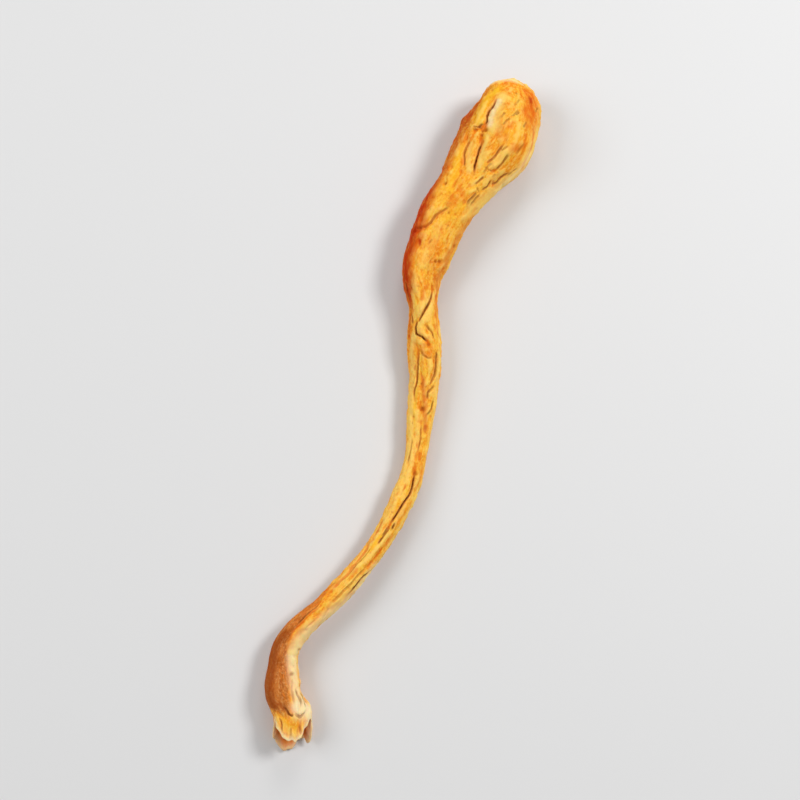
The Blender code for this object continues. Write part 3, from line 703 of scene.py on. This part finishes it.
def pore_spots(length):
    """The pits, and seeded pores: mm along, degrees round, radius and depth."""
    draw = np.random.default_rng(PORE_SEED)
    where = draw.uniform(2, length - 0.5, PORE_COUNT)
    degrees = draw.uniform(0, 360, PORE_COUNT)
    size = draw.uniform(*PORE_RADIUS_MM, PORE_COUNT)
    depth = draw.uniform(*PORE_DEPTH_MM, PORE_COUNT)
    return [*PITS, *zip(where, degrees, size, depth)]


def pits_relief(ring_along, skin, length):
    """The height that the pits and pores add, in mm."""
    height = np.zeros(skin[0].shape)
    for where, degrees, size, depth in pore_spots(length):
        near = np.flatnonzero(np.abs(ring_along - where) < 3 * size)
        spot = (where, degrees, size, size, -depth)
        height[near] += bump(spot, *(grid[near] for grid in skin))
    return height


def fine_relief(skin):
    """Creases in patches, ripples and grain, in mm."""
    along, angle, radius = skin
    sway = field(skin, CREASE_SWAY_SIZE_MM, CREASE_SWAY_SIZE_MM, 6)
    wavy = (along, angle + np.degrees(CREASE_SWAY_MM * sway / radius), radius)
    creased = field(wavy, CREASE_LENGTH_MM, CREASE_AROUND_MM, 7)
    patch = smooth(*CREASE_PATCH_NOISE, field(skin, CREASE_PATCH_MM, CREASE_PATCH_MM, 8))
    share = CREASE_LEAST + (CREASE_MOST - CREASE_LEAST) * patch
    crease = share * np.exp(-((creased / CREASE_NARROW) ** 2))
    ripple = field(skin, RIPPLE_LENGTH_MM, RIPPLE_AROUND_MM, 9)
    grain = field(skin, GRAIN_LENGTH_MM, GRAIN_AROUND_MM, 10)
    return RIPPLE_MM * ripple + GRAIN_MM * grain - CREASE_MM * crease


def blurred(height, radius, sigma):
    """The relief smoothed over sigma mm, round each ring and along the rings."""
    waves = np.arange(AROUND // 2 + 1)
    girth = 2 * np.pi * np.maximum(radius.mean(axis=1, keepdims=True), LEAST_RADIUS_MM)
    keep = np.exp(-0.5 * (2 * np.pi * waves * sigma / girth) ** 2)
    smoothed = np.fft.irfft(np.fft.rfft(height, axis=1) * keep, n=AROUND, axis=1)
    reach = max(1, round(2.5 * sigma / RING_GAP_MM))
    steps = np.arange(-reach, reach + 1)
    weights = np.exp(-0.5 * (steps * RING_GAP_MM / sigma) ** 2)
    weights = weights / weights.sum()
    rows = np.arange(len(height))
    return sum(w * smoothed[np.clip(rows + k, 0, rows[-1])] for w, k in zip(weights, steps))


def stroked(table, ring_along, skin):
    """The strength of a table of strokes, from 0 to 1."""
    total = np.zeros(skin[0].shape)
    for path, half_width, strength in table:
        near, gap, _, _ = near_path(path, 3 * half_width, ring_along, skin)
        total[near] = np.maximum(total[near], strength * np.exp(-((gap / half_width) ** 3)))
    return total


def flank(skin, profile, sector):
    """The tint of one flank: its share along the stem, faded in over a sector of degrees."""
    along, angle, _ = skin
    where, share = np.array(profile).T
    return np.interp(along, where, share) * smooth(*sector, turn(angle, 90))


def brown_flank(skin):
    """The smooth brown flank of the foot."""
    gap, side, _ = path_distance(FLANK_EDGE, *skin)
    return flank(skin, BROWN_FLANK, BROWN_FLANK_DEG) * smooth(*FLANK_EDGE_SOFT_MM, gap * side)


def club_surface():
    """The skin's points in mm, rings by angles, its two end points, and its layers."""
    at, length = middle_line()
    ring = rings(length)
    even = np.radians(np.arange(AROUND) * 360 / AROUND)
    angle = np.degrees(even + UPPER_SIDE_CLOSER * np.sin(even)) - 90
    along, angle = np.meshgrid(ring[:, 0], angle, indexing="ij")
    share = np.broadcast_to(ring[:, 1:2], along.shape)
    inside = np.broadcast_to(ring[:, 2:3], along.shape)
    row, _ = at(along)
    full = (row[..., 3] + row[..., 4]) / 2
    radius = full * np.maximum(share, THINNEST_SHARE)
    rag = field((np.zeros(along.shape), angle, full), 1, RAG_SIZE_MM, 1)
    torn = lip_reach(angle) * np.exp(-((along / LIP_FADE_MM) ** 2))
    torn = torn + RAG_MM * 2 * rag * np.exp(-((along / RAG_FADE_MM) ** 2))
    points, away = section_points(at, along - torn, angle, share)
    near_mouth = np.maximum(inside, 1 - smooth(0, MOUTH_END_MM, along))[..., None]
    direction = unit(near_mouth * away + (1 - near_mouth) * outward(points))
    skin = (along, angle, radius)
    outer = (along, angle, np.where(inside > 0, full, radius))
    wavering = wavered(outer)
    cut, closest, dark = lines_relief(ring[:, 0], wavering)
    pits = pits_relief(ring[:, 0], outer, length)
    height = main_relief(outer, wavering) + (cut + pits) * (1 - inside)
    height = height + fine_relief(skin)
    smoother = FLANK_SMOOTHNESS * brown_flank(wavering) * (1 - inside)
    height = height + smoother * (blurred(height, radius, FLANK_BLUR_MM) - height)
    follow = 1 - inside * (1 - MOUTH_FOLLOW)
    points = points + direction * (height * follow)[..., None]
    points[..., 2] = np.maximum(points[..., 2], 0)
    tip, _ = section_points(at, np.array([length]), np.zeros(1), np.zeros(1))
    layers = relief_layers(skin, height, inside)
    layers["line"] = closest
    layers["line_dark"] = dark * (1 - inside)
    # pits darkened by their depth, partly painted shade
    layers["pit"] = np.clip(-pits / PIT_FULL_MM, 0, 1) * (1 - inside)
    layers.update(paint_layers(ring[:, 0], wavering, inside))
    return points, points[0].mean(axis=0), tip[0], layers


def raised(height, radius, fine, coarse, full):
    """How high the skin lies in its surroundings, from -1 to 1."""
    above = blurred(height, radius, fine) - blurred(height, radius, coarse)
    return np.clip(above / full, -1, 1)


def relief_layers(skin, height, inside):
    """The skin's straightened places, how high it lies in two sizes, and its torn edge."""
    along, _, radius = skin
    edge = np.exp(-((np.maximum(along, 0) / TORN_EDGE_MM) ** 2))
    return {
        "skin_mm": straightened(skin),
        "small_relief": raised(height, radius, *SMALL_RELIEF_MM),
        "large_relief": raised(height, radius, *LARGE_RELIEF_MM),
        "torn_edge": edge * (1 - (1 - TORN_EDGE_INSIDE) * inside),
        "inside": inside,
    }


def paint_layers(ring_along, skin, inside):
    """One number per point for each colour that is laid on the skin."""
    along, angle, _ = skin
    layers = {name: stroked(table, ring_along, skin) for name, table in STROKES.items()}
    # Red on the left flank and the underside: partly the skin's redder colour, partly painted shade.
    below = np.maximum(*(smooth(*sector, turn(angle, 90)) for sector in UNDERSIDE_RED_AND_SHADE_DEG))
    left = np.maximum(flank(skin, LEFT_FLANK_RED_AND_SHADE, LEFT_FLANK_RED_AND_SHADE_DEG), UNDERSIDE_RED_AND_SHADE_SHARE * below)
    layers["red"] = np.maximum(layers["red"], FLANK_RED_AND_SHADE * left)
    # Cream on the right flank: partly paler skin, partly painted highlight.
    right = flank(skin, RIGHT_FLANK_PALE_AND_HIGHLIGHT, RIGHT_FLANK_PALE_AND_HIGHLIGHT_DEG)
    layers["pale_and_highlit_flank"] = right * smooth(*RIGHT_FLANK_PALE_AND_HIGHLIGHT_BELOW_DEG, turn(angle))
    layers["brown_flank"] = brown_flank(skin)
    layers["yellowness"] = np.interp(along, *np.array(YELLOW_ALONG).T)
    return {name: values * (1 - inside) for name, values in layers.items()}


def skin_mesh(points, first, tip, layers):
    """One closed mesh of the grid of points, centred on the solid, with its layers."""
    low, high = (np.array(corner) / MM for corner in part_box("fruiting_body"))
    flat = points.reshape(-1, 3)
    shift = (flat.min(axis=0) + flat.max(axis=0)) / 2 - (low + high) / 2
    shift[2] = 0
    verts = (np.concatenate([flat, [first, tip]]) - shift) * MM
    count, around = points.shape[:2]
    ring = np.arange(around)
    following = (ring + 1) % around
    starts = np.arange(count - 1)[:, None] * around
    here, beside = starts + ring, starts + following
    quads = np.stack([here, here + around, beside + around, beside], axis=-1).reshape(-1, 4)
    last = (count - 1) * around
    mouth_fan = np.stack([np.full(around, len(flat)), ring, following], axis=-1)
    tip_fan = np.stack([np.full(around, len(flat) + 1), last + following, last + ring], axis=-1)
    mesh = bpy.data.meshes.new("fruiting_body_skin")
    mesh.from_pydata(verts.tolist(), [], quads.tolist() + mouth_fan.tolist() + tip_fan.tolist())
    for layer, values in layers.items():
        wide = values.ndim == 3
        kept = mesh.attributes.new(layer, "FLOAT_VECTOR" if wide else "FLOAT", "POINT")
        ends = values.reshape(-1, 3) if wide else values.reshape(-1)
        ends = np.concatenate([ends, ends[:1], ends[-1:]])
        kept.data.foreach_set("vector" if wide else "value", ends.ravel())
    mesh.shade_smooth()
    return mesh


# ---- materials


def linear(*levels):
    """A linear colour from the usual 0 to 255 values of red, green and blue."""
    shares = [level / 255 for level in levels]
    return (*(s / 12.92 if s <= 0.04045 else ((s + 0.055) / 1.055) ** 2.4 for s in shares), 1.0)


ORANGE = linear(238, 134, 30)
AMBER = linear(246, 160, 38)
YELLOW = linear(250, 189, 62)
GOLD = linear(252, 192, 42)
CREAM = linear(254, 208, 106)
PALE = linear(254, 210, 136)
WHITE = linear(255, 232, 182)
PEACH = linear(222, 126, 54)
DEEP_ORANGE = linear(224, 98, 12)
RED = linear(190, 52, 4)
BROWN = linear(202, 120, 58)
DARK_BROWN = linear(146, 58, 6)
INSIDE = linear(216, 124, 56)
# painted shade along the furrows
LINE = linear(138, 92, 56)
# painted shade
GREY_SHADE = linear(204, 158, 80)
# partly the pores' darker colour, partly painted shade
PIT = linear(150, 76, 14)
# The ground: two noises and the yellowness add up to the number that picks its colour.
GROUND = ((0.38, ORANGE), (0.49, AMBER), (0.6, YELLOW))
TONE_SHARE = 0.4
MOTTLE_SHARE = 0.6
YELLOW_SHIFT = 0.22

SKIN_NUMBERS = {
    "Specular IOR Level": 0.06, "Subsurface Weight": 0.25,
    "Subsurface Radius": (1.0, 0.35, 0.1), "Subsurface Scale": 0.0006,
}


def add(tree, kind, inputs=(), **settings):
    """A node with its settings, and each input set to a value or linked to a socket."""
    node = tree.nodes.new("ShaderNode" + kind)
    for name, value in settings.items():
        setattr(node, name, value)
    for key, value in dict(inputs).items():
        if isinstance(value, bpy.types.NodeSocket):
            tree.links.new(value, node.inputs[key])
        else:
            node.inputs[key].default_value = value
    return node


def new_material(name, numbers):
    """A material with these numbers and colours, and its shader."""
    material = bpy.data.materials.new(name)
    material.use_nodes = True
    shader = material.node_tree.nodes["Principled BSDF"]
    for socket, number in numbers.items():
        shader.inputs[socket].default_value = number
    return material, shader


def layer_value(tree, name):
    """A paint layer as a number."""
    return add(tree, "Attribute", attribute_name=name).outputs["Fac"]


def noise_value(tree, place, around, along, detail, roughness=0.6):
    """Noise with features of about these sizes in mm, round and along the stem."""
    inputs = {0: place, 1: (1 / around, 1 / around, 1 / along)}
    scaled = add(tree, "VectorMath", inputs, operation="MULTIPLY").outputs[0]
    inputs = {"Vector": scaled, "Scale": 1, "Detail": detail, "Roughness": roughness}
    return add(tree, "TexNoise", inputs).outputs["Fac"]


def ranged(tree, value, low, high, to_low=0, to_high=1):
    """The value mapped from one range to another, smoothly and clamped."""
    inputs = {"Value": value, "From Min": low, "From Max": high, "To Min": to_low, "To Max": to_high}
    return add(tree, "MapRange", inputs, interpolation_type="SMOOTHSTEP").outputs["Result"]


def maths(tree, operation, value, *others):
    """One kind of sum on some values."""
    for other in others:
        value = add(tree, "Math", {0: value, 1: other}, operation=operation).outputs[0]
    return value


def tinted(tree, below, colour, amount, blend="MIX"):
    """One colour over another by an amount from 0 to 1."""
    inputs = {0: amount, 6: below, 7: colour}
    return add(tree, "Mix", inputs, data_type="RGBA", blend_type=blend).outputs[2]


def base_colour(tree, mottle, tone):
    """The orange to yellow ground."""
    toned = maths(tree, "MULTIPLY", tone, TONE_SHARE)
    mottled = maths(tree, "MULTIPLY", mottle, MOTTLE_SHARE)
    yellowness = maths(tree, "SUBTRACT", layer_value(tree, "yellowness"), 0.5)
    shift = maths(tree, "MULTIPLY", yellowness, YELLOW_SHIFT)
    ramp = add(tree, "ValToRGB", {"Fac": maths(tree, "ADD", toned, mottled, shift)})
    stops = ramp.color_ramp.elements
    stops.new(GROUND[1][0])
    for stop, (position, colour) in zip(stops, GROUND):
        stop.position, stop.color = position, colour
    return ramp.outputs["Color"]


def washed(tree, colour, washes):
    """Colours laid one over another, each growing as its value goes from none to full."""
    for value, over, none, full, most in washes:
        colour = tinted(tree, colour, over, ranged(tree, value, none, full, 0.0, most))
    return colour


def painted(tree, colour, coats):
    """Colours laid one over another: the paint layer, the colour, how much, how unevenly."""
    for layer, over, most, *uneven in coats:
        amount = maths(tree, "MULTIPLY", layer_value(tree, layer), most, *uneven)
        colour = tinted(tree, colour, over, amount)
    return colour


def furrow_lines(tree, colour, mottle):
    """Painted shade along each furrow: a dark, broken line."""
    core = ranged(tree, layer_value(tree, "line"), 0.56, 0.82)
    broken = ranged(tree, mottle, 0.36, 0.54, 0.55, 1.0)
    share = maths(tree, "MULTIPLY", core, broken)
    darkened = maths(tree, "MULTIPLY", layer_value(tree, "line_dark"), share)
    return tinted(tree, colour, LINE, darkened, "MULTIPLY")


def skin_colour(tree, place):
    """The colour of the dried skin."""
    tone = noise_value(tree, place, 2.2, 5, 2)
    mottle = noise_value(tree, place, 0.42, 0.85, 5, 0.62)
    streak = noise_value(tree, place, 0.24, 2.2, 3)
    speckle = noise_value(tree, place, 0.17, 0.26, 3)
    uneven = ranged(tree, mottle, 0.34, 0.56, 0.62, 1.0)
    redder = ranged(tree, mottle, 0.64, 0.44, 0.7, 1.0)
    # how near a furrow is, for the painted highlight on its lips
    beside = ranged(tree, layer_value(tree, "line"), 0.1, 0.5)
    large = layer_value(tree, "large_relief")
    small = layer_value(tree, "small_relief")
    colour = washed(tree, base_colour(tree, mottle, tone), (
        (streak, ORANGE, 0.52, 0.66, 0.45),
        (streak, CREAM, 0.47, 0.33, 0.45),
        (speckle, DEEP_ORANGE, 0.53, 0.68, 0.55),
        (speckle, CREAM, 0.47, 0.33, 0.55),
    ))
    colour = painted(tree, colour, (
        ("yellow", GOLD, 0.8),
        # the right flank's cream, partly paler skin and partly painted highlight
        ("pale_and_highlit_flank", PALE, 0.75, uneven),
        # cream strokes, partly paler skin and partly painted highlight
        ("cream", CREAM, 0.95, uneven),
        # peach strokes, partly the skin's colour and partly painted shade
        ("peach", PEACH, 0.8, uneven),
    ))
    # painted shade in the hollows and painted highlight on the crests
    colour = washed(tree, colour, (
        (large, DEEP_ORANGE, -0.3, -1.0, 0.12),
        (small, DEEP_ORANGE, -0.16, -0.8, 0.6),
        (small, CREAM, 0.16, 0.8, 0.6),
    ))
    colour = painted(tree, colour, (
        # painted highlight on the lips beside each furrow
        ("line_dark", CREAM, 0.5, beside),
        ("orange", DEEP_ORANGE, 0.85, redder),
        # red: blush, and painted shade on the left flank and the underside
        ("red", RED, 1.0, redder),
        ("brown_flank", BROWN, 0.92),
        ("brown_flank", ORANGE, 0.55, ranged(tree, streak, 0.5, 0.62)),
        ("brown_flank", DARK_BROWN, 0.6, ranged(tree, mottle, 0.46, 0.62)),
        ("brown_flank", PALE, 0.2, ranged(tree, speckle, 0.48, 0.36)),
        ("brown_flank", DARK_BROWN, 0.4, ranged(tree, speckle, 0.52, 0.66)),
        ("dark_flank", DARK_BROWN, 0.85, redder),
        # white strokes: the foot's pale tissue, and painted highlights on the head
        ("white", WHITE, 0.9),
        # greyish painted shade
        ("grey_shade", GREY_SHADE, 0.4),
    ))
    # the furrows' dark lines are painted shade
    return painted(tree, furrow_lines(tree, colour, mottle), (
        # pits darkened by their depth: partly the pores' own colour, partly painted shade
        ("pit", PIT, 0.5),
        ("inside", INSIDE, 1.0, uneven),
        ("torn_edge", WHITE, 0.8),
    ))


def skin_material():
    """The matte, finely grained dried skin, slightly translucent."""
    material, shader = new_material("dried_skin_fine", SKIN_NUMBERS)
    tree = material.node_tree
    place = add(tree, "Attribute", attribute_name="skin_mm").outputs["Vector"]
    tree.links.new(skin_colour(tree, place), shader.inputs["Base Color"])
    grain = noise_value(tree, place, 0.11, 0.15, 3)
    tree.links.new(ranged(tree, grain, 0.35, 0.65, 0.58, 0.82), shader.inputs["Roughness"])
    surface = add(tree, "Bump", {"Height": grain, "Strength": 0.7, "Distance": 0.00005})
    tree.links.new(surface.outputs["Normal"], shader.inputs["Normal"])
    return material


# ---- the piece, the stage

FLOOR_SIZE_M = 4.0
FLOOR_DROP_M = 0.00003  # keeps the floor clear of the faces that rest on it
VIEW_AZIMUTH_DEG = 18.7  # the club leans to the right in the picture by this much
VIEW_ELEVATION_DEG = 77.0
VIEW_SIDE_MM = 79.0  # what the square picture spans at the club
LENS_MM = 85.0
FLOOR_NUMBERS = {"Base Color": (0.74, 0.74, 0.74, 1), "Roughness": 0.9}
WORLD_STRENGTH = 0.3
# name, azimuth, elevation, distance and side in metres, and watts
LIGHTS = (
    ("key", 130, 46, 0.3, 0.08, 0.5),
    ("fill", -80, 44, 0.35, 0.2, 0.5),
    ("back", 190, 34, 0.35, 0.12, 0.2),
)


def place_round(thing, centre, azimuth, elevation, distance):
    """Puts a camera or light round the centre, facing it. Azimuth 0 is the foot's side."""
    a, e = math.radians(azimuth), math.radians(elevation)
    back = Vector((math.sin(a) * math.cos(e), -math.cos(a) * math.cos(e), math.sin(e)))
    thing.location = centre + back * distance
    thing.rotation_euler = (-back).to_track_quat("-Z", "Y").to_euler()
    scene.collection.objects.link(thing)


def add_light(centre, name, azimuth, elevation, distance, size, watts):
    """A soft square light."""
    lamp = bpy.data.lights.new(name, "AREA")
    lamp.size = size
    lamp.energy = watts
    place_round(bpy.data.objects.new(name, lamp), centre, azimuth, elevation, distance)


def add_camera(centre):
    """The camera at the photograph's viewing angle."""
    lens = bpy.data.cameras.new("camera")
    lens.lens = LENS_MM
    lens.clip_start = 0.01
    distance = VIEW_SIDE_MM * MM / 2 / (lens.sensor_width / 2 / LENS_MM)
    camera = bpy.data.objects.new("camera", lens)
    place_round(camera, centre, VIEW_AZIMUTH_DEG, VIEW_ELEVATION_DEG, distance)
    scene.camera = camera


def add_floor():
    """The plain pale floor."""
    material, _ = new_material("pale_floor", FLOOR_NUMBERS)
    half = FLOOR_SIZE_M / 2
    sides = ((-1, -1), (1, -1), (1, 1), (-1, 1))
    corners = [(x * half, y * half, -FLOOR_DROP_M) for x, y in sides]
    mesh = bpy.data.meshes.new("floor")
    mesh.from_pydata(corners, [], [(0, 1, 2, 3)])
    mesh.materials.append(material)
    floor = bpy.data.objects.new("floor", mesh)
    scene.collection.objects.link(floor)


def add_world():
    """Even white light from all round."""
    world = bpy.data.worlds.new("studio")
    world.use_nodes = True
    shade = world.node_tree.nodes["Background"]
    shade.inputs["Color"].default_value = (1.0, 1.0, 1.0, 1)
    shade.inputs["Strength"].default_value = WORLD_STRENGTH
    scene.world = world


club = bpy.data.objects.new("fruiting_body_skin", skin_mesh(*club_surface()))
club.data.materials.append(skin_material())
scene.collection.objects.link(club)
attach(club, "root")
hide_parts("fruiting_body")

lowest, highest = solid_box
middle = (lowest + highest) / 2
add_camera(middle)
add_floor()
add_world()
for light in LIGHTS:
    add_light(middle, *light)
scene.view_settings.view_transform = "Standard"
